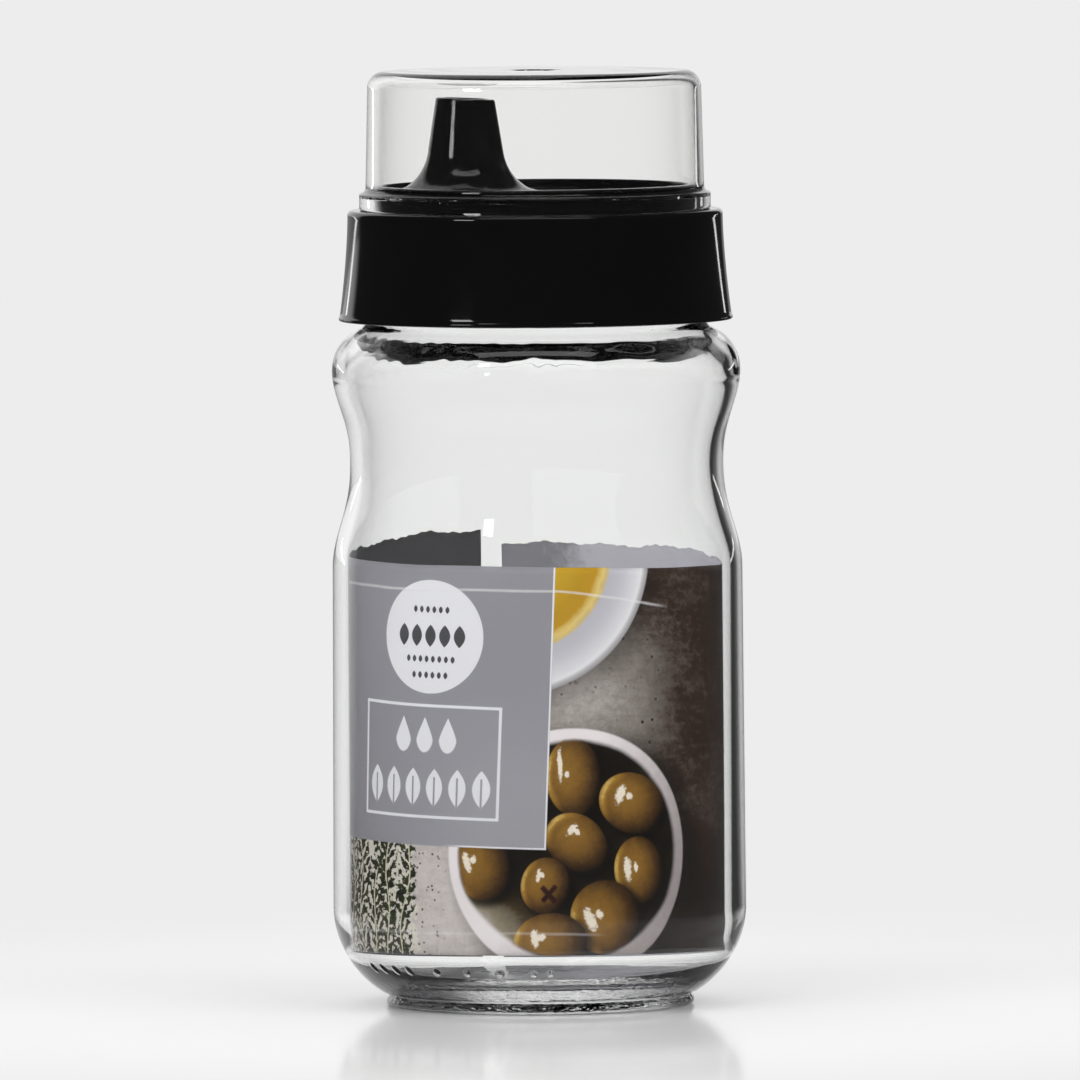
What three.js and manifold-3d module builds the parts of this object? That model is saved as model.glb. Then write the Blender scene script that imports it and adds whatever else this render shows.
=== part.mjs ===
// Glass oil bottle with a screw-on pourer lid, a clear dust cap and a card label rolled up inside.
// Millimetres, +Z up. The origin is the centre of the base, and the label's front faces -Y.
// The lid unscrews anticlockwise seen from above: right-hand thread, one start.
import * as THREE from 'three';
import { mergeVertices } from 'three/addons/utils/BufferGeometryUtils.js';
import Module from 'manifold-3d';

const wasm = await Module();
wasm.setup();

// ---------- driving dimensions ----------

const turnSegments = 48; // facets round each turned piece
const spoutSegments = 28; // facets round the spout

const body = {
  radius: 42.5, // outside, where the wall is straight
  wall: 2.6,
  footInset: 10.5, // the foot is this much smaller in radius than the wall
  footHeight: 2.2,
  footGroove: 0.6, // how far the groove above the foot cuts in
  restWidth: 3.7, // width of the flat ring that the bottle stands on
  puntDepth: 2.6,
  heelRadius: 20.2, // outside corner between foot and wall
  heelInner: 8.5, // inside corner between floor and wall
  floorHeight: 6.5, // inside floor where it meets the corner
  floorDome: 1.8, // how far the floor rises to the middle
  straightTop: 91, // level where the straight wall ends
  waistDepth: 3.8,
  waistRun: 21.8, // height from the straight wall to the waist
  bulgeRun: 19, // height from the waist to the upper bulge
  bulgeInset: 0.15, // the upper bulge is this much smaller than the wall
  waistEase: 1.2, // over 1 keeps the waist long and its ends quick
  shoulderRadius: 9.3,
  // inside the shoulder, one sweep from the neck's bore to the wall: above and below the upper bulge, and its pull outwards
  sweepUp: 9.7,
  sweepDown: 1.5,
  sweepPull: 6,
};

const neck = {
  radius: 35.3, // thread root
  wall: 3.5,
  height: 19.6, // from the top of the shoulder to the rim
  fillet: 0.9,
  rimRound: 0.8,
};

const thread = {
  pitch: 6,
  turns: 1.25,
  depth: 1.6,
  baseWidth: 2.6,
  tipWidth: 1.1,
  rimOffset: 4.1, // from the rim down to the top turn's centre
  runOut: 0.1, // share of the length over which each end fades
  rooting: 0.4, // how far a ridge is sunk into its wall
  stepsPerTurn: 36,
};

const seal = { thickness: 1.4, inset: 0.3 };

const insert = {
  flangeThickness: 1.2,
  flangeInset: 0.3, // from the neck's outside
  plugDepth: 4.5, // how far the plug ring hangs into the neck
  plugWall: 1.4,
  plugClearance: 0.5,
  seatInset: 2.1, // from the neck's outside to the ring that the dust cap fits over
  seatWall: 1.6,
  seatAboveCollar: 5.1,
  beadHeight: 0.12, // snap bead round the seat ring
  beadLevel: 2, // above the collar
  deckThickness: 1.5,
  deckRecess: 2.1, // from the top of the seat ring down to the deck
  drainRadius: 1.6,
  drainInset: 7.6, // from the seat ring's inside, opposite the spout
};

const spout = {
  offset: 14.3, // from the bottle's axis
  tipRadius: 6.1,
  height: 20.1, // from the deck to the tip
  taper: 0.158, // radius gained per millimetre down
  flareRadius: 10.5, // fillet between the cone and the deck
  wall: 1.5,
  tipSlope: 0.05, // the tip is cut lower towards the middle
};

const collar = {
  footGap: 1.1, // between the shoulder of the glass and the collar
  wall: 1.5,
  flare: 1.7, // how much wider the skirt is at its foot
  flareEase: 1.6, // over 1 makes the skirt flare late, near its foot
  lip: 0.25, // outward bead at the lower edge
  lipHeight: 1.1,
  lipWall: 1.3,
  topRound: 1,
  topThickness: 1.8,
  threadClearance: 0.5,
  mouthHeight: 2.4, // widened mouth under the thread
};

const cap = {
  wall: 1.5,
  topThickness: 1.6,
  headroom: 3.8, // from the spout's tip up to the cap
  draft: 0.5, // how much narrower the cap is at its top
  topRound: 3.5,
  topRoundInner: 2.0,
  clearance: 0.4, // radial gap to the seat ring
  flangeWidth: 1.35,
  flangeHeight: 3.5,
  flangeRound: 1.3,
  footRound: 0.3,
  gateRadius: 4.4,
  gateDepth: 0.3,
};

const label = {
  thickness: 0.25,
  wallGap: 0.5, // where the roll leans on the glass
  looseness: 0.55, // how much smaller in radius the roll is than its room
  cornerGap: 0.45, // radial gap to the corner of the floor, where the roll stands
  topRun: 1.7, // how far the front reaches above the straight wall
  seamGap: 4.6, // between the sheet's two ends, at the back
  seamAngle: 104, // degrees from +X, where that gap lies
  skew: 4.6, // how much higher one end of the sheet sits than the other
  steps: 52,
};

const openingGap = 0.3; // between the seat ring and the collar's opening

// ---------- radii and levels that follow from them ----------

const roomRadius = body.radius - body.wall;
const footRadius = body.radius - body.footInset;
const bulgeRadius = body.radius - body.bulgeInset;
const waistLevel = body.straightTop + body.waistRun;
const bulgeLevel = waistLevel + body.bulgeRun;
const shoulderCentre = bulgeRadius - body.shoulderRadius;
const shoulderTop = bulgeLevel + body.shoulderRadius;

const neckBore = neck.radius - neck.wall;
const rimLevel = shoulderTop + neck.height;
const threadFootCentre = rimLevel - thread.rimOffset - thread.pitch * thread.turns;

const sealTop = rimLevel + seal.thickness;
const flangeTop = sealTop + insert.flangeThickness;
const collarTop = flangeTop + collar.topThickness;
const collarFoot = shoulderTop + collar.footGap;
const collarBore = neck.radius + thread.depth + collar.threadClearance;
const collarTopRadius = collarBore + collar.wall;
const collarFootRadius = collarTopRadius + collar.flare;

const seatRadius = neck.radius - insert.seatInset;
const seatInner = seatRadius - insert.seatWall;
const seatTop = collarTop + insert.seatAboveCollar;
const deckTop = seatTop - insert.deckRecess;
const deckUnder = deckTop - insert.deckThickness;
const tipLevel = deckTop + spout.height;

// ---------- geometry helpers ----------

// Points of an arc about (cx, cz), from one angle to another, in degrees.
function arc(cx, cz, radius, from, to, steps) {
  return Array.from({ length: steps + 1 }, (_, i) => {
    const a = THREE.MathUtils.degToRad(from + ((to - from) * i) / steps);
    return [cx + radius * Math.cos(a), cz + radius * Math.sin(a)];
  });
}

// Spins a profile of [radius, height] pairs about Z. It starts and ends on the axis, or closes on itself.
function turned(profile, { closes = false, segments = turnSegments } = {}) {
  const points = profile.map(([r, z]) => new THREE.Vector2(Math.max(r, 0), z));
  if (closes) points.push(points[0].clone());
  return new THREE.LatheGeometry(points, segments).rotateX(Math.PI / 2);
}

function solid(geometry) {
  const bare = geometry.clone();
  bare.deleteAttribute('normal');
  bare.deleteAttribute('uv');
  const merged = mergeVertices(bare, 1e-4);
  const shape = new wasm.Manifold(
    new wasm.Mesh({
      numProp: 3,
      vertProperties: merged.attributes.position.array,
      triVerts: new Uint32Array(merged.index.array),
    }),
  );
  if (shape.volume() < 0) throw new Error('a profile runs the wrong way round');
  return shape;
}

function geometryOf(shape) {
  const mesh = shape.getMesh();
  const geometry = new THREE.BufferGeometry();
  geometry.setAttribute('position', new THREE.BufferAttribute(mesh.vertProperties, 3));
  geometry.setIndex(new THREE.BufferAttribute(mesh.triVerts, 1));
  geometry.computeVertexNormals();
  return geometry;
}

// A helix whose cross-section stays radial. Its radius changes by fade at both ends.
class ThreadPath extends THREE.Curve {
  constructor(radius, footLevel, fade) {
    super();
    Object.assign(this, { radius, footLevel, fade });
  }

  getPoint(t, target = new THREE.Vector3()) {
    const fromEnd = Math.min(t, 1 - t) / thread.runOut;
    const r = this.radius + this.fade * Math.max(0, 1 - fromEnd);
    const a = t * thread.turns * 2 * Math.PI;
    return target.set(r * Math.cos(a), r * Math.sin(a), this.footLevel + thread.pitch * thread.turns * t);
  }

  getPointAt(t, target) {
    return this.getPoint(t, target);
  }

  computeFrenetFrames(steps) {
    const frames = { tangents: [], normals: [], binormals: [] };
    for (let i = 0; i <= steps; i++) {
      const a = (i / steps) * thread.turns * 2 * Math.PI;
      frames.tangents.push(new THREE.Vector3(-Math.sin(a), Math.cos(a), 0));
      frames.normals.push(new THREE.Vector3(0, 0, 1));
      frames.binormals.push(new THREE.Vector3(Math.cos(a), Math.sin(a), 0));
    }
    return frames;
  }
}

// A thread ridge: outward is 1 on the neck and -1 inside the collar.
function threadRidge(wallRadius, footLevel, outward) {
  const root = -outward * thread.rooting;
  const tip = outward * thread.depth;
  const [base, crest] = [thread.baseWidth / 2, thread.tipWidth / 2];
  const section = new THREE.Shape([
    new THREE.Vector2(-base, root),
    new THREE.Vector2(-crest, tip),
    new THREE.Vector2(crest, tip),
    new THREE.Vector2(base, root),
  ]);
  const path = new ThreadPath(wallRadius, footLevel, -outward * (thread.depth + 0.05));
  const steps = Math.round(thread.turns * thread.stepsPerTurn);
  return solid(new THREE.ExtrudeGeometry(section, { steps, extrudePath: path, bevelEnabled: false }));
}

// ---------- glass bottle ----------

// Blends from 0 to 1, slowly at both ends, and later for an ease over 1.
function waistBlend(t) {
  return (1 - Math.cos(Math.PI * t ** body.waistEase)) / 2;
}

// The wall from its straight part through the waist to the upper bulge, set in by inset.
function waistProfile(inset, steps) {
  const waistRadius = body.radius - body.waistDepth;
  const points = [];
  for (let i = steps; i > 0; i--) {
    const r = waistRadius + body.waistDepth * waistBlend(i / steps);
    points.push([r - inset, waistLevel - (body.waistRun * i) / steps]);
  }
  for (let i = 0; i <= steps; i++) {
    const r = waistRadius + (bulgeRadius - waistRadius) * waistBlend(i / steps);
    points.push([r - inset, waistLevel + (body.bulgeRun * i) / steps]);
  }
  return points;
}

function glassOutside() {
  const restInner = footRadius - 0.8 - body.restWidth;
  const grooveRadius = footRadius - body.footGroove;
  const heelDrop = (body.heelRadius - body.footHeight - body.footGroove) / body.heelRadius;
  const heelFrom = -THREE.MathUtils.radToDeg(Math.asin(heelDrop));
  const neckReach = (neck.radius + neck.fillet - shoulderCentre) / body.shoulderRadius;
  const neckAngle = Math.min(85, THREE.MathUtils.radToDeg(Math.acos(neckReach)));
  return [
    [0, body.puntDepth],
    [restInner * 0.6, body.puntDepth * 0.85],
    [restInner - 1, body.puntDepth * 0.3],
    [restInner, 0],
    [restInner + body.restWidth, 0],
    [footRadius, 0.8],
    [footRadius, body.footHeight - 0.5],
    [grooveRadius, body.footHeight],
    ...arc(body.radius - body.heelRadius, body.heelRadius, body.heelRadius, heelFrom, 0, 7),
    ...waistProfile(0, 6),
    ...arc(shoulderCentre, bulgeLevel, body.shoulderRadius, neckAngle / 4, neckAngle, 3),
    [neck.radius, shoulderTop + neck.fillet],
    [neck.radius, rimLevel - neck.rimRound],
    [neck.radius - neck.rimRound, rimLevel],
  ];
}

// The inside of the shoulder, which leaves the glass thick at the corner: a cubic curve from the bore to the wall.
function shoulderSweep(steps) {
  const wallInside = bulgeRadius - body.wall;
  const pull = bulgeLevel + body.sweepPull;
  const ends = [
    [neckBore, bulgeLevel + body.sweepUp], [neckBore, pull],
    [wallInside, pull], [wallInside, bulgeLevel - body.sweepDown],
  ];
  const points = [];
  for (let i = 0; i <= steps; i += 1) {
    const t = i / steps;
    const shares = [(1 - t) ** 3, 3 * t * (1 - t) ** 2, 3 * t * t * (1 - t), t ** 3];
    points.push([0, 1].map((axis) => ends.reduce((sum, end, at) => sum + shares[at] * end[axis], 0)));
  }
  return points;
}

function glassInside() {
  const cornerCentre = [roomRadius - body.heelInner, body.floorHeight + body.heelInner];
  return [
    [neckBore + neck.rimRound, rimLevel],
    [neckBore, rimLevel - neck.rimRound],
    ...shoulderSweep(7),
    ...waistProfile(body.wall, 6).reverse().slice(1),
    ...arc(...cornerCentre, body.heelInner, 0, -90, 5),
    [cornerCentre[0] * 0.5, body.floorHeight + body.floorDome * 0.7],
    [0, body.floorHeight + body.floorDome],
  ];
}

function glassBottle() {
  const vessel = solid(turned([...glassOutside(), ...glassInside()]));
  return geometryOf(vessel.add(threadRidge(neck.radius, threadFootCentre, 1)));
}

// ---------- label: one sheet of card, rolled up inside the bottle ----------

// The lowest level at which the corner of the floor leaves room for a given radius.
function cornerLevel(radius) {
  const across = radius - (roomRadius - body.heelInner);
  return body.floorHeight + body.heelInner - Math.sqrt(body.heelInner ** 2 - across ** 2);
}

// The roll is sheared along its turn, so that one end of the sheet sits higher than the other.
function labelSheet() {
  const outer = roomRadius - label.wallGap - label.looseness;
  const inner = outer - label.thickness;
  const seam = THREE.MathUtils.degToRad(label.seamAngle);
  const halfGap = label.seamGap / outer / 2;
  const sweep = 2 * (Math.PI - halfGap);
  const edge = (radius) =>
    Array.from({ length: label.steps + 1 }, (_, i) => {
      const a = seam + halfGap + (sweep * i) / label.steps;
      return new THREE.Vector2(radius * Math.cos(a), radius * Math.sin(a));
    });
  const front = 1.5 * Math.PI;
  const rise = (a) => (label.skew * (front - a)) / (2 * Math.PI);
  const footLevel = cornerLevel(outer + label.cornerGap) - rise(seam + halfGap + sweep);
  const height = body.straightTop + label.topRun - footLevel;
  const outline = new THREE.Shape([...edge(outer), ...edge(inner).reverse()]);
  const sheet = new THREE.ExtrudeGeometry(outline, { depth: height, steps: 1, bevelEnabled: false });
  const points = sheet.attributes.position;
  for (let i = 0; i < points.count; i++) {
    const a = Math.atan2(points.getY(i), points.getX(i));
    const along = a < seam ? a + 2 * Math.PI : a;
    points.setZ(i, points.getZ(i) + footLevel + rise(along));
  }
  return sheet.translate(-label.looseness, 0, 0);
}

// ---------- lid ----------

function sealRing() {
  const inner = neckBore + seal.inset;
  const outer = neck.radius - seal.inset;
  return turned([[inner, rimLevel], [outer, rimLevel], [outer, sealTop], [inner, sealTop]], { closes: true });
}

// The spout's side from a level above its tip down to footLevel: a cone, then a fillet into the deck.
function spoutSide(inset, topLevel, footLevel) {
  const tilt = Math.atan(spout.taper);
  const centreLevel = deckTop + spout.flareRadius;
  const joinLevel = centreLevel - spout.flareRadius * Math.sin(tilt);
  const joinRadius = spout.tipRadius + spout.taper * (tipLevel - joinLevel);
  const centreRadius = joinRadius + spout.flareRadius * Math.cos(tilt);
  const reach = spout.flareRadius + inset;
  const foot = Math.asin(Math.min(1, (centreLevel - footLevel) / reach));
  const flare = arc(centreRadius, centreLevel, reach,
    180 + THREE.MathUtils.radToDeg(tilt), 180 + THREE.MathUtils.radToDeg(foot), 6);
  const [firstRadius, firstLevel] = flare[0];
  return [[firstRadius - spout.taper * (topLevel - firstLevel), topLevel], ...flare];
}

// A solid that fills the spout's side, carried straight down to a level below it.
function spoutCore(side, downTo) {
  const [topLevel, footRadius] = [side[0][1], side.at(-1)[0]];
  const profile = [[0, downTo], [footRadius, downTo], ...[...side].reverse(), [0, topLevel]];
  return solid(turned(profile, { segments: spoutSegments })).translate([-spout.offset, 0, 0]);
}

function seatAndPlug() {
  const plugOuter = neckBore - insert.plugClearance;
  const plugInner = plugOuter - insert.plugWall;
  const plugFoot = sealTop - insert.plugDepth;
  const flangeOuter = neck.radius - insert.flangeInset;
  const beadLevel = collarTop + insert.beadLevel;
  return solid(turned([
    [0, deckUnder],
    [seatInner, deckUnder],
    [seatInner, flangeTop],
    [plugInner, flangeTop],
    [plugInner, plugFoot],
    [plugOuter, plugFoot],
    [plugOuter, sealTop],
    [flangeOuter, sealTop],
    [flangeOuter, flangeTop],
    [seatRadius, flangeTop],
    [seatRadius, beadLevel - 0.5],
    [seatRadius + insert.beadHeight, beadLevel],
    [seatRadius, beadLevel + 0.5],
    [seatRadius, seatTop - 0.5],
    [seatRadius - 0.5, seatTop],
    [seatInner + 0.3, seatTop],
    [seatInner, seatTop - 0.3],
    [seatInner, deckTop],
    [0, deckTop],
  ]));
}

function pourInsert() {
  const room = solid(new THREE.CylinderGeometry(seatInner + 0.5, seatInner + 0.5, 100, turnSegments)
    .rotateX(Math.PI / 2).translate(0, 0, deckTop));
  const cone = spoutCore(spoutSide(0, tipLevel + 1, deckTop), deckUnder + 0.2).intersect(room);
  const bore = spoutCore(spoutSide(spout.wall, tipLevel + 2, deckUnder), deckUnder - 1);
  const tipCut = solid(new THREE.BoxGeometry(40, 40, 10).translate(0, 0, 5)
    .rotateY(Math.atan(spout.tipSlope)).translate(-spout.offset, 0, tipLevel));
  const drain = solid(new THREE.CylinderGeometry(insert.drainRadius, insert.drainRadius, 10, 16)
    .rotateX(Math.PI / 2).translate(seatInner - insert.drainInset, 0, deckTop));
  return geometryOf(seatAndPlug().add(cone.subtract(tipCut)).subtract(bore).subtract(drain));
}

function screwCollar() {
  const opening = seatRadius + openingGap;
  const roundLevel = collarTop - collar.topRound;
  const skirtFoot = collarFoot + collar.lipHeight;
  const lipRadius = collarFootRadius + collar.lip;
  const skirt = Array.from({ length: 6 }, (_, i) => {
    const t = i / 5;
    const r = collarTopRadius + collar.flare * (1 - t) ** collar.flareEase;
    return [r, skirtFoot + (roundLevel - skirtFoot) * t];
  });
  const outside = [
    [collarFootRadius, collarFoot],
    [lipRadius, collarFoot + 0.3],
    [lipRadius, skirtFoot - 0.4],
    ...skirt,
    ...arc(collarTopRadius - collar.topRound, roundLevel, collar.topRound, 30, 90, 2),
  ];
  const shell = solid(turned([
    ...outside,
    [opening, collarTop],
    [opening, flangeTop],
    [collarBore, flangeTop],
    [collarBore, collarFoot + collar.mouthHeight],
    [collarFootRadius - collar.lipWall, collarFoot + 0.4],
  ], { closes: true }));
  const envelope = solid(turned([[0, collarFoot], ...outside, [0, collarTop]]));
  // Half a pitch under the neck's ridge, on the same helix.
  const ridge = threadRidge(collarBore, threadFootCentre - thread.pitch / 2, -1);
  return geometryOf(shell.add(ridge.intersect(envelope)));
}

function dustCap() {
  const foot = collarTop;
  const tipTop = tipLevel + spout.tipSlope * spout.tipRadius;
  const innerTop = tipTop + cap.headroom;
  const top = innerTop + cap.topThickness;
  const bore = seatRadius + cap.clearance;
  const wallOuter = bore + cap.wall;
  const topOuter = wallOuter - cap.draft;
  const flangeOuter = wallOuter + cap.flangeWidth;
  const flangeTopLevel = foot + cap.flangeHeight;
  return turned([
    [0, innerTop],
    ...arc(topOuter - cap.wall - cap.topRoundInner, innerTop - cap.topRoundInner, cap.topRoundInner, 90, 0, 3),
    [bore, flangeTopLevel + cap.flangeRound],
    [bore, foot + cap.footRound],
    [bore + cap.footRound, foot],
    [flangeOuter - cap.footRound, foot],
    [flangeOuter, foot + cap.footRound],
    [flangeOuter, flangeTopLevel],
    [wallOuter + 0.35 * cap.flangeWidth, flangeTopLevel + 0.3 * cap.flangeRound],
    [wallOuter, flangeTopLevel + cap.flangeRound],
    ...arc(topOuter - cap.topRound, top - cap.topRound, cap.topRound, 0, 90, 4),
    [cap.gateRadius, top],
    [cap.gateRadius - 0.3, top - cap.gateDepth],
    [0, top - cap.gateDepth],
  ]);
}

// ---------- materials and assembly ----------

const finish = (color, roughness, opacity = 1) =>
  new THREE.MeshStandardMaterial({ color, roughness, metalness: 0, opacity, transparent: opacity < 1 });

const clearGlass = finish(0xe6ece8, 0.03, 0.35);
const clearPlastic = finish(0xf2f4f4, 0.06, 0.3);
const blackPlastic = finish(0x0a0a0b, 0.18);
const sealFoam = finish(0xd9d8d2, 0.6);
const printedCard = finish(0x8d8b93, 0.55);

function piece(name, geometry, material) {
  const mesh = new THREE.Mesh(geometry, material);
  mesh.name = name;
  return mesh;
}

const lid = new THREE.Group();
lid.add(piece('seal_ring', sealRing(), sealFoam));
lid.add(piece('pour_insert', pourInsert(), blackPlastic));
lid.add(piece('screw_collar', screwCollar(), blackPlastic));
lid.add(piece('dust_cap', dustCap(), clearPlastic));

const oilBottle = new THREE.Group();
oilBottle.add(piece('glass_bottle', glassBottle(), clearGlass));
oilBottle.add(piece('label_sheet', labelSheet(), printedCard));
oilBottle.add(lid);

export default oilBottle;
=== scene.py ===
import math
import bpy
import numpy as np
from mathutils import Matrix, Vector


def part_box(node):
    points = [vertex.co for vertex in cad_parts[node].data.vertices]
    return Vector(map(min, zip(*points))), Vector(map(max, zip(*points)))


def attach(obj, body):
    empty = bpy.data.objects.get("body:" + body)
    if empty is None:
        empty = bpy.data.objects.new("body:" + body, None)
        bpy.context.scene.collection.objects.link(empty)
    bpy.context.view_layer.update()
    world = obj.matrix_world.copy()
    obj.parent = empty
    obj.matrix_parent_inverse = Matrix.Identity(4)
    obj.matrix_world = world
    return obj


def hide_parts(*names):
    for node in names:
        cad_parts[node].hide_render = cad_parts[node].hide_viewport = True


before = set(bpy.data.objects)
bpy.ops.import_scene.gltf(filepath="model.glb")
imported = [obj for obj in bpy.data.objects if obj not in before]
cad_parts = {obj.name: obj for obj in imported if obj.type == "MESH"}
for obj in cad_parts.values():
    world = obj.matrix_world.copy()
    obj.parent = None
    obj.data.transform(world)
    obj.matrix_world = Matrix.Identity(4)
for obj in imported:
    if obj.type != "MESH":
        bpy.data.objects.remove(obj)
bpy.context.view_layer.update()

mm = 0.001
scene = bpy.context.scene
print("frame loaded:", ", ".join(sorted(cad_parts)))

# camera: long lens, a little above the bottle

cameraView = {
    "distance": 4.4,
    "height": 0.335,
    "aim": (0.00056, 0.0, 0.0964),
    "lens": 708.0, "film": 36.0,
    "roll": -0.40,  # degrees
}

def placeCamera():
    cam = bpy.data.cameras.new("camera")
    cam.lens = cameraView["lens"]
    cam.sensor_width = cameraView["film"]
    cam.clip_end = 200
    obj = bpy.data.objects.new("camera", cam)
    scene.collection.objects.link(obj)
    ax, ay, az = cameraView["aim"]
    drop = math.atan2(cameraView["height"] - az, cameraView["distance"])
    obj.location = (ax, ay - cameraView["distance"], cameraView["height"])
    tilt = Matrix.Rotation(math.pi / 2 - drop, 3, "X")
    roll = Matrix.Rotation(math.radians(cameraView["roll"]), 3, "Z")
    obj.rotation_euler = (tilt @ roll).to_euler()
    scene.camera = obj

placeCamera()

# shader helpers

class Num:
    # a number that varies over a surface, with plain arithmetic
    def __init__(self, paint, out):
        self.paint, self.out = paint, out
    def __add__(self, other):
        return self.paint.math("ADD", self, other)
    def __sub__(self, other):
        return self.paint.math("SUBTRACT", self, other)
    def __rsub__(self, other):
        return self.paint.math("SUBTRACT", other, self)
    def __mul__(self, other):
        return self.paint.math("MULTIPLY", self, other)
    def __truediv__(self, other):
        return self.paint.math("DIVIDE", self, other)
    def __rtruediv__(self, other):
        return self.paint.math("DIVIDE", other, self)
    def __pow__(self, other):
        return self.paint.math("POWER", self, other)
    def __abs__(self):
        return self.paint.math("ABSOLUTE", self)
    __radd__ = __add__
    __rmul__ = __mul__

class Paint:
    # a material or world node tree, with its nodes made by one method
    def __init__(self, owner):
        owner.use_nodes = True
        self.tree = owner.node_tree
        self.tree.nodes.clear()

    def node(self, kind, settings=None, inputs=None):
        made = self.tree.nodes.new("ShaderNode" + kind)
        for key, value in (settings or {}).items():
            if key == "stops":
                ramp = made.color_ramp
                while len(ramp.elements) < len(value):
                    ramp.elements.new(0.5)
                for element, (place, colour) in zip(ramp.elements, value):
                    element.position = place
                    element.color = colour
            else:
                setattr(made, key, value)
        for key, value in (inputs or {}).items():
            self.put(made.inputs[key], value)
        return made

    def put(self, socket, value):
        if isinstance(value, Num):
            self.tree.links.new(value.out, socket)
        elif isinstance(value, bpy.types.NodeSocket):
            self.tree.links.new(value, socket)
        else:
            socket.default_value = value

    def math(self, operation, *values, clamp=False):
        made = self.node("Math", {"operation": operation, "use_clamp": clamp}, dict(enumerate(values)))
        return Num(self, made.outputs[0])

    def length(self, x, y):
        return self.math("SQRT", x * x + y * y)

    def largest(self, first, *others):
        for other in others:
            first = self.math("MAXIMUM", first, other)
        return first

    def clamp(self, value):
        return self.math("ADD", value, 0.0, clamp=True)

    def smooth(self, value, low, high):
        # 0 below low and 1 above high, eased between; low may be the larger
        made = self.node("MapRange", {"interpolation_type": "SMOOTHSTEP"},
                         {"Value": value, "From Min": low, "From Max": high})
        return Num(self, made.outputs["Result"])

    def mix(self, factor, a, b):
        return self.node("Mix", {"data_type": "RGBA"}, {0: factor, 6: a, 7: b}).outputs[2]

    def noise(self, where, scale, detail=2.0, rough=0.5):
        inputs = {"Vector": where, "Scale": scale, "Detail": detail, "Roughness": rough}
        made = self.node("TexNoise", None, inputs)
        return Num(self, made.outputs["Fac"])

    def bump(self, height, distance, strength=1.0):
        made = self.node("Bump", None, {"Height": height, "Distance": distance, "Strength": strength})
        return made.outputs[0]

    def parts(self, vector):
        return [Num(self, out) for out in self.node("SeparateXYZ", None, {0: vector}).outputs]

    def spot(self):
        return self.node("TexCoord").outputs["Object"]

    def principled(self, inputs):
        shader = self.node("BsdfPrincipled", None, inputs)
        self.node("OutputMaterial", None, {"Surface": shader.outputs[0]})

def material(name):
    made = bpy.data.materials.new(name)
    return made, Paint(made)

def rgb(r, g, b):
    # a colour as written for a screen, 0 to 255, made linear
    def line(v):
        v = v / 255
        return v / 12.92 if v <= 0.04045 else ((v + 0.055) / 1.055) ** 2.4
    return (line(r), line(g), line(b), 1.0)

# mesh helpers

def spread(points, push, r):
    # moves each point out from the upright axis, keeping its direction
    points[..., :2] *= (1 + push / np.maximum(r, 1))[..., None]

def surfaceMesh(name, points, wrapRows=False, poles=(None, None)):
    # points is rows x columns x 3; columns run right round, rows close on themselves or end in poles
    rows, cols = points.shape[:2]
    verts = points.reshape(-1, 3)
    at = np.arange(rows * cols).reshape(rows, cols)
    upper = at if wrapRows else at[:-1]
    lower = np.roll(at, -1, axis=0) if wrapRows else at[1:]
    quads = np.stack([upper, np.roll(upper, -1, axis=1), np.roll(lower, -1, axis=1), lower], axis=-1)
    faces = quads.reshape(-1, 4).tolist()
    for row, pole in ((0, poles[0]), (rows - 1, poles[1])):
        if pole is None:
            continue
        verts = np.vstack([verts, pole])
        ring, tip = at[row], len(verts) - 1
        after = np.roll(ring, -1)
        first, second = (after, ring) if row == 0 else (ring, after)
        faces += np.stack([first, second, np.full(cols, tip)], axis=-1).tolist()
    return pieceFrom(name, verts, faces)

def pieceFrom(name, verts, faces):
    mesh = bpy.data.meshes.new(name)
    mesh.from_pydata((verts * mm).tolist(), [], faces)
    mesh.update()
    first = np.array([[f[0], f[i], f[i + 1]] for f in faces for i in range(1, len(f) - 1)])
    a, b, c = verts[first[:, 0]], verts[first[:, 1]], verts[first[:, 2]]
    if np.einsum("ij,ij->i", a, np.cross(b, c)).sum() < 0:
        mesh.flip_normals()
    mesh.polygons.foreach_set("use_smooth", np.ones(len(mesh.polygons), bool))
    piece = bpy.data.objects.new(name, mesh)
    scene.collection.objects.link(piece)
    return piece

def arcLine(cx, cz, radius, start, end, count):
    # points of an arc about (cx, cz), angles in degrees
    a = np.radians(np.linspace(start, end, count))
    return np.stack([cx + radius * np.cos(a), cz + radius * np.sin(a)], axis=1)

def evenly(line, step):
    # the same outline with points about a step apart
    line = np.asarray(line, float)
    run = np.concatenate([[0], np.cumsum(np.hypot(*np.diff(line, axis=0).T))])
    keep = np.concatenate([[True], np.diff(run) > 1e-9])
    run, line = run[keep], line[keep]
    count = max(2, int(round(run[-1] / step)) + 1)
    t = np.linspace(0, run[-1], count)
    return np.stack([np.interp(t, run, line[:, 0]), np.interp(t, run, line[:, 1])], axis=1)

def outline(*parts):
    # joins (line, step) parts, without repeating the point where they meet
    lines = [evenly(line, step) for line, step in parts]
    return np.vstack([line if i == 0 or np.hypot(*(line[0] - lines[i - 1][-1])) > 1e-6 else line[1:]
                      for i, line in enumerate(lines)])

def around(profile, columns):
    # spins [radius, height] rows about the upright axis; columns is a count, or the angles themselves
    turn = np.linspace(0, 2 * np.pi, columns, endpoint=False) if isinstance(columns, int) else columns
    r, z = profile[:, :1], profile[:, 1:]
    return np.stack([r * np.cos(turn), r * np.sin(turn), z + 0 * turn], axis=-1), turn

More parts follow.
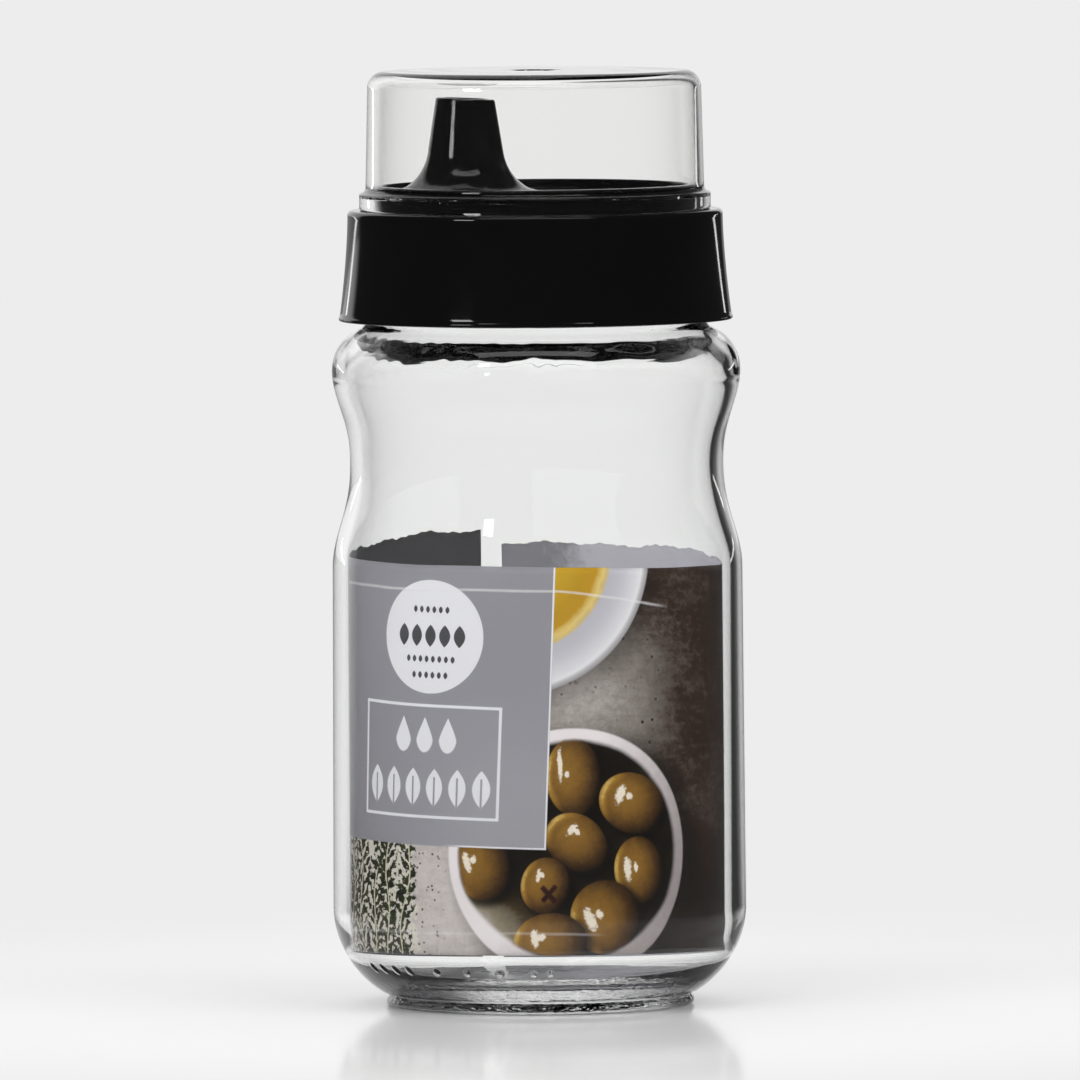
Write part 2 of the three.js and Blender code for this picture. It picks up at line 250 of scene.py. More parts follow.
def ripple(turn, z, seed, count=5, longest=60.0):
    # a slow unevenness from -1 to 1: a sum of sines round and along the piece
    rng = np.random.default_rng(seed)
    total = 0
    for _ in range(count):
        lobes = rng.integers(1, 6)
        wave = longest / rng.uniform(1, 4)
        across = np.sin(lobes * turn + rng.uniform(0, 6.3))
        total = total + across * np.sin(2 * np.pi * z / wave + rng.uniform(0, 6.3))
    return total / count

def threadRise(turn, z, foot, thread):
    # how much of the ridge's depth stands at each point: a trapezoid across a helix, faded at its ends
    rise = np.zeros(np.broadcast(turn, z).shape)
    half = thread["width"] / 2
    for lap in range(math.ceil(thread["turns"]) + 1):
        along = (turn / (2 * np.pi) + lap) / thread["turns"]
        level = foot + thread["pitch"] * (turn / (2 * np.pi) + lap)
        side = np.clip((half - np.abs(z - level)) / thread["flank"], 0, 1)
        side = side * side * (3 - 2 * side)
        fade = np.clip(np.minimum(along, 1 - along) / thread["runOut"], 0, 1)
        rise = np.maximum(rise, side * fade)
    return rise

# levels shared by the pieces, from the frame, in millimetres

def nodeTop(name):
    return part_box(name)[1][2] / mm
def nodeFoot(name):
    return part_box(name)[0][2] / mm
def nodeRadius(name):
    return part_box(name)[1][1] / mm

rimLevel = nodeTop("glass_bottle")
collarTop = nodeTop("screw_collar")
collarFoot = nodeFoot("screw_collar")
sealTop = nodeTop("seal_ring")

thread = {"pitch": 6.0, "turns": 1.25, "depth": 1.6, "width": 2.5, "flank": 0.8, "runOut": 0.1}
threadFoot = rimLevel - 4.1 - thread["pitch"] * thread["turns"]

# glass bottle

glass = {
    "columns": 128,
    "closeColumns": (205, 277, 0.45),  # degrees from, to and apart, where the marks are
    "wall": 2.6,
    "footInset": 10.5, "footHeight": 2.2, "footGroove": 0.6, "footRound": 0.9,
    "restInset": 0.8, "restWidth": 3.7, "punt": 2.6, "notches": 96, "notchDepth": 0.12,
    "heel": 20.2, "heelInner": 8.5, "floor": 6.5, "dome": 1.8,
    "belly": 0.4, "bellyLevel": 26.0, "bellyReach": 14.0,
    "straightTop": 91.0, "waistDepth": 3.8, "waistRun": 21.8, "ease": 1.2,
    "bulgeRun": 19.0, "bulgeInset": 0.15,
    "shoulder": 9.3, "sweepUp": 9.7, "sweepDown": 1.5, "sweepPull": 6.0,
    "neck": 35.3, "neckRound": 0.9, "neckWall": 3.5, "lip": 1.1,
    # small marks on the heel: degrees round from the front, slant and rise
    "marks": [(-61, 0.6, 0.4), (-55.4, 0.6, 0.4), (-49.5, 0.5, 0.4), (-43.6, 0.4, 0.4), (-33, 0, 0.6),
              (-22.6, 0, 0.6), (-12.3, 0, 0.5), (-2.1, 0, 0.4), (3.0, 0, 0.4)],
    "markLevel": 9.0, "markBand": 1.7, "markWide": 0.7,
    "unevenness": 0.09, "evenBelow": 14.0, "evenAbove": 22.0,  # the second is down from the rim
    "shoulderWave": 0.11, "archRound": 2.5,
    "floorWave": 0.16, "floorWaveTop": 16.0,
}

grooveLevel = glass["footHeight"] + glass["footGroove"]
bulgeLevel = glass["straightTop"] + glass["waistRun"] + glass["bulgeRun"]
shoulderTop = bulgeLevel + glass["shoulder"]
sweepFoot, sweepTop = bulgeLevel - glass["sweepDown"], bulgeLevel + glass["sweepUp"]

def waistLine(radius, inset):
    # straight wall, eased in to the waist by half a cosine, and out again to the upper bulge
    g = glass
    waist = radius - g["waistDepth"]
    t = np.linspace(1, 0, 40)
    low = np.stack([waist + g["waistDepth"] * (1 - np.cos(np.pi * t ** g["ease"])) / 2 - inset,
                    g["straightTop"] + g["waistRun"] * (1 - t)], axis=1)
    t = np.linspace(0, 1, 40)
    reach = radius - g["bulgeInset"] - waist
    high = np.stack([waist + reach * (1 - np.cos(np.pi * t ** g["ease"])) / 2 - inset,
                     g["straightTop"] + g["waistRun"] + g["bulgeRun"] * t], axis=1)
    return np.vstack([low, high[1:]])

def heelArc(radius, low, high, count):
    # the round of the heel between two levels
    heel = glass["heel"]
    low, high = [-math.degrees(math.asin((heel - level) / heel)) for level in (low, high)]
    return arcLine(radius - heel, heel, heel, low, high, count)

def outsideLine(radius, restIn, restOut):
    # from the middle of the punt out under the foot, up the wall and over the lip
    g = glass
    foot, bead, neck, lip = radius - g["footInset"], g["footRound"], g["neck"], g["lip"]
    centre = radius - g["bulgeInset"] - g["shoulder"]
    neckFrom = math.degrees(math.acos((neck + g["neckRound"] - centre) / g["shoulder"]))
    marksFoot, marksTop = g["markLevel"] - g["markBand"], g["markLevel"] + g["markBand"]
    t = np.linspace(0.06, 1, 24)
    punt = np.stack([restIn * t, g["punt"] * (1 - t ** 5)], axis=1)
    footBead = np.vstack([[[restOut, 0]], arcLine(foot - bead, bead, bead, -70, 60, 8),
                          arcLine(foot + 0.35, g["footHeight"] + 0.1, bead, 215, 165, 6)])
    neckFillet = np.vstack([arcLine(neck + g["neckRound"], shoulderTop + 0.75, g["neckRound"], 200, 180, 4),
                            [[neck, shoulderTop + 1.6]]])
    return outline(
        (punt, 2.2), ([[restIn, 0], [restOut, 0]], 0.5), (footBead, 0.28),
        (heelArc(radius, grooveLevel, marksFoot, 30), 0.8),
        (heelArc(radius, marksFoot, marksTop, 30), 0.26),
        (heelArc(radius, marksTop, g["heel"], 40), 0.8),
        (waistLine(radius, 0), 1.25),
        (arcLine(centre, bulgeLevel, g["shoulder"], 0, neckFrom, 30), 0.75),
        (neckFillet, 0.3),
        ([[neck, shoulderTop + 1.6], [neck, rimLevel - lip]], 0.36),
        (arcLine(neck - lip, rimLevel - lip, lip, 0, 90, 8), 0.35),
    )

def insideLine(radius):
    # from the rim down the bore, in one sweep that leaves the shoulder thick, and down the wall to the floor
    g = glass
    lip, bore, room = g["lip"], g["neck"] - g["neckWall"], radius - g["wall"]
    wall, pull = room - g["bulgeInset"], bulgeLevel + g["sweepPull"]
    a, b, c, d = np.array([[bore, sweepTop], [bore, pull], [wall, pull], [wall, sweepFoot]])
    t = np.linspace(0, 1, 40)[:, None]
    sweep = (1 - t) ** 3 * a + 3 * t * (1 - t) ** 2 * b + 3 * t * t * (1 - t) * c + t ** 3 * d
    waist = waistLine(radius, g["wall"])[::-1]
    corner = room - g["heelInner"]
    t = np.linspace(1, 0.06, 20)
    floor = np.stack([corner * t, g["floor"] + g["dome"] * (1 - t ** 2)], axis=1)
    return outline(
        ([[g["neck"] - lip, rimLevel], [bore + lip, rimLevel]], 0.5),
        (arcLine(bore + lip, rimLevel - lip, lip, 90, 180, 8), 0.35),
        ([[bore, rimLevel - lip], [bore, sweepTop]], 2.5),
        (sweep, 0.6),
        (waist[waist[:, 1] < sweepFoot], 1.4),
        (arcLine(corner, g["floor"] + g["heelInner"], g["heelInner"], 0, -90, 24), 0.6),
        (floor, 1.8),
    )

def glassPiece():
    g = glass
    radius = nodeRadius("glass_bottle")
    restOut = radius - g["footInset"] - g["restInset"]
    restIn = restOut - g["restWidth"]
    outside = outsideLine(radius, restIn, restOut)
    profile = np.vstack([outside, insideLine(radius)])
    close = np.radians(np.arange(*g["closeColumns"]))
    rest = np.linspace(close[-1], close[0] + 2 * np.pi, g["columns"])[1:-1]
    points, turn = around(profile, np.concatenate([close, rest]) % (2 * np.pi))
    r, z = profile[:, :1], profile[:, 1:]
    isIn = (np.arange(len(profile)) >= len(outside))[:, None]
    aboveFoot = ~isIn & (z > grooveLevel)
    push = np.zeros(points.shape[:2])
    # the wall swells a little above the heel
    push += np.where(aboveFoot, g["belly"] * np.exp(-((z - g["bellyLevel"]) / g["bellyReach"]) ** 2), 0)
    # thread on the neck
    onNeck = ~isIn & (z > shoulderTop + 1) & (z < rimLevel - 0.5)
    push += np.where(onNeck, thread["depth"] * threadRise(turn, z, threadFoot, thread), 0)
    # uneven wall, mostly on the inside, fading out at the heel and the neck
    uneven = np.clip((z - g["evenBelow"]) / 12, 0, 1) * np.clip((rimLevel - g["evenAbove"] - z) / 8, 0, 1)
    push += uneven * g["unevenness"] * np.where(isIn, 1.6, 0.35) * ripple(turn, z, 7)
    # the thick glass inside the shoulder is more ragged
    arch = np.clip(np.minimum(z - sweepFoot, sweepTop - z) / g["archRound"], 0, 1)
    ragged = ripple(turn * 5, z, 11, 6, 26.0) + 0.6 * ripple(turn * 13, z, 3, 6, 14.0)
    push += np.where(isIn, g["shoulderWave"] * arch * ragged, 0)
    # small raised marks round the heel: slanting strokes, then dots
    wide, level = g["markWide"], z - g["markLevel"]
    for angle, slant, rise in g["marks"]:
        sideways = (turn - math.radians(270 + angle)) * r + slant * level
        reach = np.hypot(sideways / wide, level / (wide * (1 + 0.6 * abs(slant))))
        push += np.where(aboveFoot, rise * np.clip(1 - reach ** 2, 0, 1) ** 0.7, 0)
    spread(points, push, r)
    # the inside of the floor and heel is wavy, as cooled glass is
    depth = np.clip((g["floorWaveTop"] - z) / 8, 0, 1)
    swirl = ripple(turn, r, 21, count=7, longest=26.0) + 0.5 * ripple(turn * 3, r, 5, longest=12.0)
    points[..., 2] += np.where(isIn, g["floorWave"] * depth * swirl, 0)
    # fine notches on the ring that it stands on
    resting = ~isIn & (z < 0.05) & (r > restIn + 0.3)
    points[..., 2] += np.where(resting, g["notchDepth"] * (1 + np.sin(g["notches"] * turn)) / 2, 0)
    poles = ((0, 0, g["punt"]), (0, 0, g["floor"] + g["dome"]))
    piece = surfaceMesh("bottleGlass", points, poles=poles)
    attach(piece, "bottle")
    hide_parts("glass_bottle")
    return piece

def glassMaterial():
    made, p = material("clearGlass")
    where = p.spot()
    haze = p.noise(where, 60.0, 3.0)
    # the base is stippled
    base = p.smooth(p.parts(where)[2], 0.0075, 0.003)
    pits = p.noise(where, 620.0, 1.0, 0.6)
    p.principled({
        "Base Color": (0.985, 0.99, 0.985, 1), "Transmission Weight": 1.0, "IOR": 1.5,
        "Roughness": p.smooth(haze, 0.5, 0.8) * 0.012,
        "Normal": p.bump(pits * base, 0.0006, 0.4),
    })
    return made

# label card

card = {
    "around": 520, "up": 60, "thickness": 0.25,
    "wallGap": 0.5, "looseness": 0.55, "seamGap": 4.6, "seamAngle": 104.0,
    # degrees round from the front, height: the curled sheet doesn't stand quite level
    "top": [(-178, 96.9), (-150, 96.3), (-120, 95.2), (-95, 94.0), (-60, 93.2), (0, 92.9),
            (50, 91.9), (85, 91.4), (105, 92.6), (130, 92.8), (178, 93.4)],
    "foot": [(-178, 13.6), (-90, 12.6), (-40, 13.0), (0, 13.2), (50, 12.8), (90, 12.2), (178, 13.0)],
    "tornFrom": 100.3, "tornBy": 0.45, "sway": 0.10, "flutter": 0.05,
    "panel": 112.0,  # one print's width; the next starts beside it
    "map": (240.0, 80.0), "mapHeight": 79.8,
}

def eased(x, pairs):
    # a smooth curve through (place, height) pairs: linear, then averaged over a few degrees
    places, heights = np.array(pairs, float).T
    near = np.linspace(-8, 8, 9)
    return np.mean([np.interp(x + d, places, heights) for d in near], axis=0)

def cardPiece():
    c = card
    outer = nodeRadius("glass_bottle") - glass["wall"] - c["wallGap"] - c["looseness"]
    half = c["seamGap"] / outer / 2
    seam = math.radians(c["seamAngle"])
    turn = seam + half + np.linspace(0, 2 * (math.pi - half), c["around"])
    up = np.linspace(0, 1, c["up"])[:, None]
    away = turn - 1.5 * math.pi
    low = eased(np.degrees(away), c["foot"])
    # the back's top edge is torn in steps, with finer teeth
    steps = np.round(3 * np.sin(turn * 13 + 1) * np.sin(turn * 5)) / 3
    teeth = 0.5 * np.sin(turn * 61) * np.sin(turn * 23 + 2)
    atBack = np.abs(np.degrees(away)) > c["tornFrom"]
    torn = np.where(atBack, c["tornBy"] * (steps + teeth), 0.06 * np.sin(turn * 9))
    top = eased(np.degrees(away), c["top"]) + torn
    z = low + (top - low) * up
    wave = c["sway"] * np.sin(3 * turn + 1) * np.sin(np.pi * up * 1.5)
    wave = wave + c["flutter"] * np.sin(11 * turn) * up ** 3
    shells = []
    for inset in (0, c["thickness"]):
        r = outer - inset + wave
        shells.append(np.stack([r * np.cos(turn) - c["looseness"], r * np.sin(turn) + 0 * up, z], axis=-1))
    verts = np.vstack([s.reshape(-1, 3) for s in shells])
    rows, cols = z.shape
    at = np.arange(rows * cols).reshape(rows, cols)
    quad = lambda a: np.stack([a[:-1, :-1], a[:-1, 1:], a[1:, 1:], a[1:, :-1]], axis=-1).reshape(-1, 4)
    outFaces = quad(at)
    inFaces = quad(at + rows * cols)[:, ::-1]
    rim = np.concatenate([at[0, :], at[1:, -1], at[-1, -2::-1], at[-2:0:-1, 0]])
    after = np.roll(rim, -1)
    edge = np.stack([rim, rim + rows * cols, after + rows * cols, after], axis=-1)
    faces = np.vstack([outFaces, inFaces, edge])
    piece = pieceFrom("rolledCard", verts, faces.tolist())
    mesh = piece.data
    # the sheet's own map: millimetres round from the front and up from its lower edge, as shares of its size
    wide, tall = c["map"]
    u, v = away * outer / wide + 0.5, up[:, 0] * c["mapHeight"] / tall
    flat = np.tile(np.stack([np.tile(u, rows), np.repeat(v, cols)], axis=1), (2, 1))
    corner = np.empty(len(mesh.loops), np.int32)
    mesh.loops.foreach_get("vertex_index", corner)
    layer = mesh.uv_layers.new(name="sheet")
    layer.data.foreach_set("uv", flat[corner].ravel())
    which = np.zeros(len(faces), np.int32)
    which[len(outFaces):] = 1
    mesh.polygons.foreach_set("material_index", which)
    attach(piece, "bottle")
    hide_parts("label_sheet")
    return piece

picture = {
    "lean": 2.3, "drop": 1.6,  # the print sits a little askew, in degrees
    "panelRight": 2.9, "panelFoot": 21.6,
    "badge": (-23.0, 64.6, 11.7),  # across, up, radius
    "frame": (-40.2, -7.2, 27.5, 50.4), "frameLine": 0.6,  # left, right, foot, top
    "dish": (-7.4, 83.4), "dishRim": 30.4, "dishOil": 21.8,
    "bowl": (8.5, 21.1), "bowlRim": 25.8, "bowlWall": 2.2,
    "olives": [  # across, up, half width, half height, turn in degrees
        (8.0, 36.9, 5.6, 8.1, 4), (20.9, 31.7, 7.5, 6.2, -18), (9.1, 23.3, 6.9, 5.6, -38),
        (22.9, 17.9, 5.6, 6.9, 8), (-10.4, 18.0, 6.2, 7.2, 18), (3.0, 14.3, 4.9, 5.8, -8),
        (15.8, 8.1, 7.4, 7.6, 26), (4.4, 2.4, 7.6, 6.2, 8),
    ],
    "stalkEnd": 5,  # the olive that shows where its stalk was
    "sprig": (-48.6, -26.4, 22.0),  # from, to, height
    "stems": [(-46.5, 0.02), (-41.6, -0.04), (-37.0, 0.06), (-32.4, -0.02), (-28.6, 0.10)],  # foot, slant
    # each a pale line of painted highlight along a slight crease: its height, where it starts to fall, how
    # fast, its end, and its share of the painted highlight
    "creasesAndHighlights": [(75.0, 5.0, 0.13, 27.0, 0.9), (4.5, -6.0, 0.02, 12.0, 0.4)],
    "paper": (240, 239, 245),
    "shades": {
        "stone": [(0.0, (20, 11, 5)), (0.3, (62, 44, 33)), (0.6, (148, 140, 133)),
                  (0.85, (212, 203, 200)), (1.0, (232, 226, 225))],
        "china": [(0.0, (196, 194, 203)), (0.35, (206, 205, 213)), (0.8, (228, 226, 231)),
                  (0.93, (238, 237, 240)), (1.0, (170, 166, 170))],
        "oil": [(0.0, (208, 166, 24)), (0.55, (196, 152, 8)), (0.86, (200, 152, 16)),
                (0.97, (236, 208, 124)), (1.0, (214, 190, 130))],
        "bowlRim": [(0.0, (120, 110, 106)), (0.42, (190, 180, 180)), (0.7, (248, 240, 242))],
        "bowlInside": [(0.0, (30, 21, 10)), (0.35, (70, 54, 24)), (0.7, (150, 138, 116)),
                       (1.0, (206, 198, 196))],
        "olive": [(0.0, (30, 18, 5)), (0.3, (82, 52, 8)), (0.6, (140, 98, 22)),
                  (0.85, (170, 126, 34)), (1.0, (222, 186, 96))],
    },
}

def printedMaterial():
    made, p = material("printedCard")
    m = picture
    flat = p.node("UVMap", {"uv_map": "sheet"}).outputs[0]
    mapWide, mapTall = card["map"]
    u, v = p.parts(flat)[:2]
    sheetX, sheetY = (u - 0.5) * mapWide, v * mapTall
    lean, drop = math.radians(m["lean"]), math.radians(m["drop"])
    half, middle = card["panel"] / 2, mapTall / 2
    x = p.math("WRAP", sheetX + 0.3, half, -half)
    x, y = x - (sheetY - middle) * lean, sheetY + x * drop
    where = p.node("CombineXYZ", None, {0: x, 1: y, 2: 0.0}).outputs[0]
    stretched = p.node("CombineXYZ", None, {0: x * 0.5, 1: y * 2.4, 2: 3.0}).outputs[0]
    # unevenness at five scales, each centred on 0
    cloud = p.noise(where, 0.05, 4.0, 0.6) - 0.5
    grain = p.noise(where, 0.5, 6.0, 0.7) - 0.5
    crisp = p.noise(where, 1.6, 3.0, 0.6) - 0.5
    streak = p.noise(stretched, 0.3, 4.0, 0.65) - 0.5
    fine = p.noise(flat, 900.0, 2.0) - 0.5

    def shaded(name, value):
        stops = [(place, rgb(*shade)) for place, shade in m["shades"][name]]
        return p.node("ValToRGB", {"stops": stops}, {0: p.clamp(value)}).outputs[0]

    def blob(cx, cy, rx, ry, angle=0.0):
        # distance from a centre, 1 on the ellipse's edge, with the local across and up
        c, s = math.cos(math.radians(angle)), math.sin(math.radians(angle))
        dx, dy = x - cx, y - cy
        u, v = (dx * c + dy * s) / rx, (dy * c - dx * s) / ry
        return p.length(u, v), u, v

    def disc(value, edge, soft):
        # 1 inside an edge, eased over soft
        return p.smooth(value, edge + soft, edge - soft)

    def band(value, reach, soft):
        # 1 within reach of 0 on either side
        return disc(abs(value), reach, soft)

    def ring(cx, cy):
        return p.length(x - cx, y - cy)

    def specks(scale, size, soft):
        found = p.node("TexVoronoi", {"feature": "F1"}, {"Vector": where, "Scale": scale})
        return disc(Num(p, found.outputs["Distance"]), size, soft)

    def stone():
        # pale at the lower left and between dish and bowl, dark at the right, with pits and specks
        light = 0.30 + 0.40 * p.smooth(ring(9, 53), 26, 3) + 0.52 * p.smooth(x, 6, -14) * p.smooth(y, 60, 30)
        light = light - 0.16 * p.smooth(y, 34, 8) * p.smooth(x, 14, 30)
        colour = shaded("stone", light + cloud * 0.30 + grain * 0.26 + streak * 0.16 + crisp * 0.12)
        few = p.smooth(grain + cloud * 0.7, -0.07, 0.1) * p.smooth(ring(14, 52), 26, 12)
        colour = p.mix(specks(0.42, 0.20, 0.06) * few * 0.15, colour, rgb(226, 220, 216))
        colour = p.mix(specks(0.42, 0.17, 0.05) * few, colour, rgb(40, 30, 25))
        speckled = p.smooth(x, -26, -25) * p.smooth(x, -16, -21)
        return p.mix(specks(0.75, 0.19, 0.07) * speckled, colour, rgb(88, 80, 76))

    def oilDish(colour):
        far, rim, edge = ring(*m["dish"]), m["dishRim"], m["dishOil"]
        colour = p.mix(p.smooth(far, rim + 6, rim - 1) * 0.55, colour, rgb(44, 36, 31))
        colour = p.mix(disc(far, rim, 0.2), colour, shaded("china", p.smooth(far, edge, rim)))
        oil = shaded("oil", p.smooth(far, edge - 11, edge) + grain * 0.12)
        return p.mix(disc(far, edge, 0.25), colour, oil)

    def olive(colour, i, inBowl, cx, cy, rx, ry, angle):
        far, u, v = blob(cx, cy, rx, ry, angle)
        under = blob(cx + 0.8, cy - 0.9, rx * 1.1, ry * 1.1, angle)[0]
        colour = p.mix(p.smooth(under, 1.12, 0.85) * inBowl * 0.85, colour, rgb(22, 14, 5))
        side = 0.66 - u * 0.24 + v * 0.10 - far * far * 0.42 + grain * 0.30 + crisp * 0.14
        skin = shaded("olive", side + 0.42 * p.smooth(far, 0.72, 0.92) * p.smooth(u, -0.35, -0.9))
        # two glints with broken edges, a little different on each olive
        broken = crisp * 1.5 + grain
        wider, lower = i * 0.37 % 1, i * 0.61 % 1
        glints = ((-0.48 + 0.16 * wider, 0.32 - 0.3 * lower, 0.09 + 0.06 * lower, 0.36 - 0.16 * wider),
                  (-0.24 + 0.14 * lower, 0.06 + 0.34 * wider, 0.08 + 0.06 * wider, 0.09 + 0.05 * lower))
        for offU, offV, wide, tall in glints:
            gleam = p.length((u - offU) / wide, (v - offV) / tall)
            skin = p.mix(p.smooth(gleam + broken, 1.3, 0.7) * 0.95, skin, rgb(255, 244, 226))
        if i == m["stalkEnd"]:
            cu, cv = u - 0.2, v + 0.3
            cross = p.math("MINIMUM", abs(cu - cv * 0.7), abs(cu * 0.7 + cv))
            atStalk = p.smooth(blob(cx + 0.9, cy - 1.7, 2.4, 2.4)[0], 1.0, 0.8)
            skin = p.mix(p.smooth(cross, 0.17, 0.07) * atStalk, skin, rgb(58, 20, 8))
        return p.mix(p.smooth(far, 1.03, 0.97) * inBowl, colour, skin)

    def bowl(colour):
        # its shadow, its rim, the dark inside and the olives
        (bx, by), rim = m["bowl"], m["bowlRim"]
        far = ring(bx, by)
        colour = p.mix(p.smooth(ring(bx + 3.4, by - 2.0), rim + 5, rim - 2) * 0.7, colour, rgb(34, 27, 22))
        lit = 0.62 - (x - bx) * 0.013 + (y - by) * 0.006 + grain * 0.2
        colour = p.mix(disc(far, rim, 0.3), colour, shaded("bowlRim", lit))
        inner = rim - m["bowlWall"] - 1.5 * p.smooth(y, 14, 2) + cloud * 1.6
        inBowl = p.smooth(far - inner, 0.5, -0.9)
        depth = p.smooth(x + y * 0.6, 14, -12) * p.smooth(y, 15, 8) + grain * 0.35
        colour = p.mix(inBowl, colour, shaded("bowlInside", depth))
        for i, shape in enumerate(m["olives"]):
            colour = olive(colour, i, inBowl, *shape)
        return colour

    def herb(colour):
        # stems with short dark leaves that slope up on both sides, broken into lobes
        left, right, tall = m["sprig"]
        wobble = (p.noise(where, 0.35, 3.0, 0.6) - 0.5) * 7.0
        lobes = p.noise(where, 0.8, 3.0, 0.6) - 0.5
        grown = p.smooth(x + wobble + lobes * 9.0 - (tall - y) * 0.08, right + 0.9, right + 0.4)
        grown = grown * p.smooth(x + wobble * 0.5, left, left + 0.5)
        leaves = p.mix(0.45 + 0.4 * grain, colour, rgb(236, 234, 214))
        shade = p.mix(p.smooth(grain, -0.15, 0.2), rgb(22, 26, 8), rgb(62, 68, 28))
        for foot, slant in m["stems"]:
            off = x - foot - y * slant - p.math("SINE", y * 0.35 + foot) * 0.6
            reach = abs(off)
            along = p.math("WRAP", y - reach * 1.2 + p.math("SIGN", off) * 0.7 + wobble * 1.3, 1.5, -1.5)
            leaf = p.smooth(abs(along) - 1.15 + reach * 0.2 + lobes * 4.4, 0.15, -0.15)
            leaves = p.mix(leaf * disc(reach, 3.1, 0.2), leaves, shade)
            leaves = p.mix(disc(reach, 0.16, 0.1), leaves, rgb(214, 212, 180))
        return p.mix(grown, colour, leaves)

    def row(centreX, centreY, pitch, count, mark):
        # the same mark again and again along a line
        start = centreX + (pitch / 2 if count % 2 == 0 else 0)
        over = p.math("WRAP", x - start, pitch / 2, -pitch / 2)
        return mark(over, y - centreY) * band(x - centreX, pitch * count / 2, 0.05)

    def leafMark(wide, tall):
        # a pointed oval: it narrows as its ends come near
        return lambda dx, dy: disc(abs(dx) / wide + (dy / tall) ** 2.0, 1.0, 0.08)

    def dropMark(wide, tall):
        # an oval drawn to a point at the top
        def mark(dx, dy):
            narrowed = wide * p.clamp(0.80 - dy / tall * 0.62)
            return disc(p.length(dx / narrowed, dy / tall), 1.0, 0.06)
        return mark

    def panel(colour):
        edge, foot, paper = m["panelRight"], m["panelFoot"], rgb(*m["paper"])
        tone = 0.42 + cloud * 0.2 + crisp * 0.14 + fine * 0.1
        tone = tone + 0.42 * p.smooth(y, 62, 26) * p.smooth(x, -34, -6)
        grey = p.mix(p.clamp(tone), rgb(139, 138, 146), rgb(172, 171, 178))
        # the badge, with rows of leaves
        cx, cy, radius = m["badge"]
        small = leafMark(0.45, 0.75)
        ink = p.largest(row(cx, cy + 0.2, 3.3, 5, leafMark(1.25, 2.3)), row(cx, cy + 5.6, 1.5, 6, small),
                        row(cx, cy - 4.6, 1.5, 8, small), row(cx, cy - 7.9, 1.5, 6, small))
        grey = p.mix(disc(ring(cx, cy), radius, 0.1), grey, paper)
        grey = p.mix(ink * 0.92, grey, rgb(30, 29, 33))
        # the frame, with drops above leaves
        left, right, low, high = m["frame"]
        midX, midY = (left + right) / 2, (low + high) / 2
        out = p.largest(abs(x - midX) - (right - left) / 2, abs(y - midY) - (high - low) / 2)
        veins = band(p.math("WRAP", x - midX - 2.6, 2.6, -2.6), 0.22, 0.06) * band(y - midY + 6.2, 3.0, 0.1)
        signs = p.largest(band(out, m["frameLine"] / 2, 0.08),
                          row(midX, midY + 5.4, 5.4, 3, dropMark(2.1, 3.6)),
                          row(midX, midY - 5.4, 5.2, 6, leafMark(1.9, 3.9))) * (1 - veins)
        # pale lines along the panel's right side and foot
        side = band(x - edge + 0.2, 0.18, 0.06)
        base = band(y - foot - 0.2, 0.18, 0.06) * p.smooth(x, -20, -12)
        onPanel = disc(x, edge, 0.1) * p.smooth(y, foot - 0.1, foot + 0.1)
        return p.mix(onPanel, colour, p.mix(p.largest(signs, side, base), grey, paper))

    colour = panel(herb(bowl(oilDish(stone()))))
    # pale cut edges, and two faint pale lines across the sheet: painted highlights, with a slight crease in
    # the bump along each
    cut = p.smooth(abs(x + (sheetY - middle) * lean), half - 0.45, half - 0.2)
    colour = p.mix(cut, colour, rgb(226, 224, 228))
    creaseAndHighlight = 0.0
    for level, bend, fall, end, highlightShare in m["creasesAndHighlights"]:
        sag = p.math("MAXIMUM", sheetX - bend, 0.0) * fall
        line = band(sheetY - level + sag + cloud * 0.8, 0.25, 0.2)
        creaseAndHighlight = creaseAndHighlight + line * p.smooth(sheetX, end + 3, end - 3) * highlightShare
    creaseAndHighlight = creaseAndHighlight * p.smooth(sheetX, -53, -48)
    # the pale colour along the lines is painted highlight
    colour = p.mix(creaseAndHighlight * (0.55 + 0.5 * grain), colour, rgb(244, 242, 244))
    p.principled({
        "Base Color": colour, "Roughness": 0.38 + fine * 0.1, "Specular IOR Level": 0.4,
        "Normal": p.bump(fine * 0.2 + creaseAndHighlight, 0.0001, 0.4),
    })
    return made

def cardBackMaterial():
    # the back of the sheet: its colour is paler behind the print's pale half and darker behind its dark half,
    # painted show-through of light from behind, and it glows a little, a painted backlight
    made, p = material("cardBack")
    where = p.spot()
    drawn = p.node("Mapping", None, {"Vector": where, "Scale": (300, 300, 900)}).outputs[0]
    fibre = p.noise(drawn, 1.0, 4.0, 0.7)
    cloud, mottle = p.noise(where, 25.0, 3.0), p.noise(where, 260.0, 4.0, 0.7)
    x = (p.parts(p.node("UVMap", {"uv_map": "sheet"}).outputs[0])[0] - 0.5) * card["map"][0]
    tone = p.clamp(fibre * 0.4 + cloud * 0.6)
    # pale and dim are the paper's colour painted lighter and darker: painted show-through of light from
    # behind the print's pale and dark halves
    pale = p.mix(tone, rgb(176, 175, 182), rgb(206, 205, 212))
    dim = p.mix(tone, rgb(52, 51, 52), rgb(96, 94, 95))
    half = card["panel"] / 2
    nearSeam = p.smooth(x + (mottle - 0.5) * 22, 108, 120)
    atFront = p.smooth(x, -half - 2, -half + 1) * p.smooth(x, 5.0, 2.0)
    panel = p.largest(p.smooth(x, half - 1, half + 2), atFront) * (1 - nearSeam * 0.6)
    # painted glow: the emission stands in for light from behind coming through the thin sheet, more where the
    # print is pale
    through = p.mix(panel, (0.018, 0.018, 0.019, 1), (0.175, 0.172, 0.19, 1))
    p.principled({
        "Base Color": p.mix(panel, dim, pale), "Roughness": 0.6, "Normal": p.bump(fibre, 0.00003, 0.5),
        "Emission Color": through, "Emission Strength": 1.0,
    })
    return made

# black pourer

